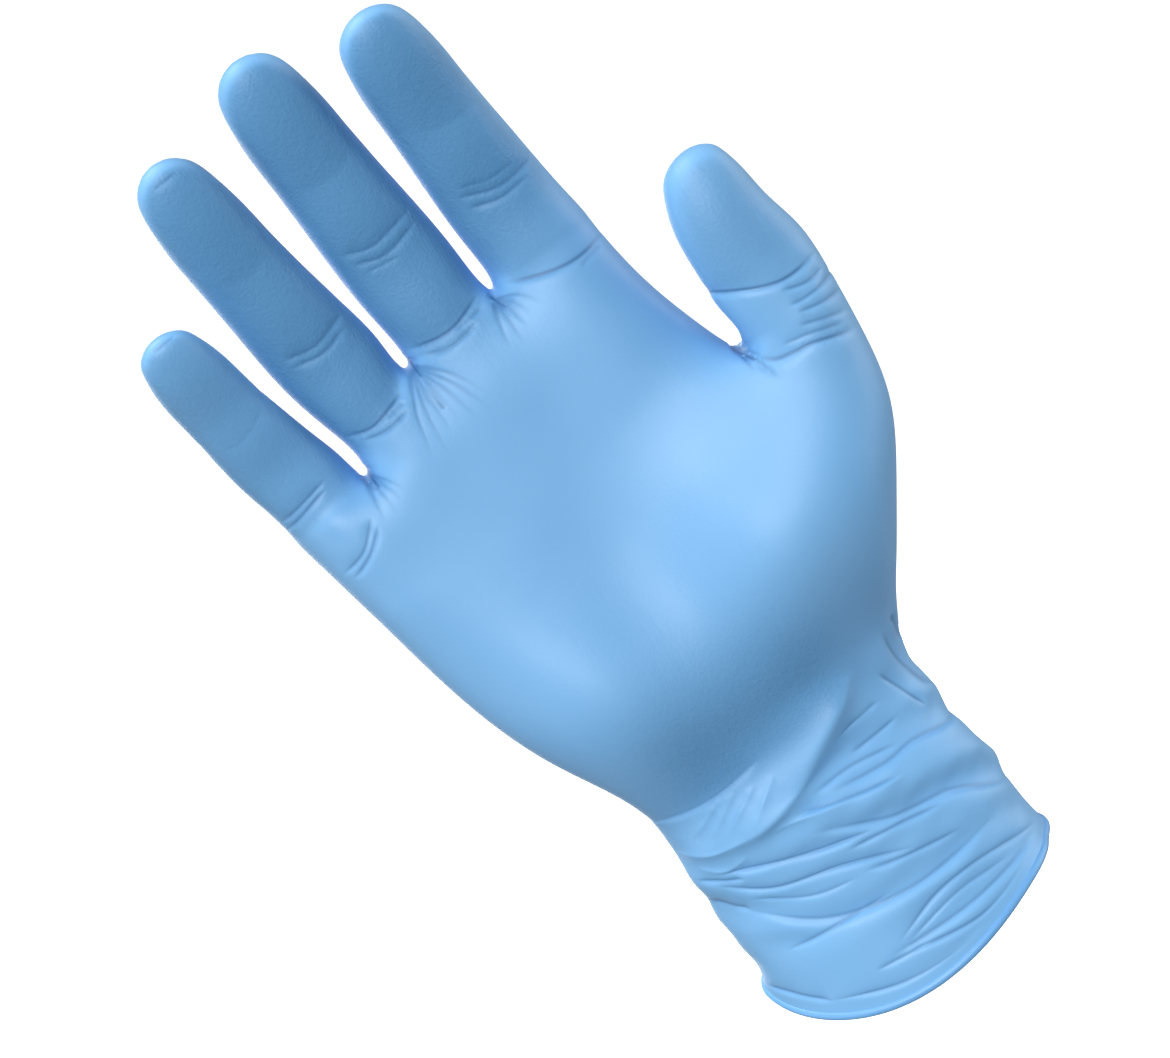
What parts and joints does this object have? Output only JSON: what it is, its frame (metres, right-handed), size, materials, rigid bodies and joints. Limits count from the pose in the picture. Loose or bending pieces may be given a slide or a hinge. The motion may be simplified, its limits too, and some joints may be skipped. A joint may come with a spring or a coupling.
{
  "type": "nitrile exam glove",
  "caption": "Thin blue disposable exam glove in its worn form, fingers up and palm to -Y, with a slack folded cuff and a rolled edge round the opening",
  "frame": {"origin": "centre of the cuff opening, where the hand goes in", "axes": "+Z from the opening to the fingertips, -Y the way the palm faces, +X to the thumb side"},
  "size_m": [0.124, 0.071, 0.2435],
  "materials": {
    "film": "satin"
  },
  "bodies": {
    "root": {"glove_film": "film"}
  },
  "joints": []
}
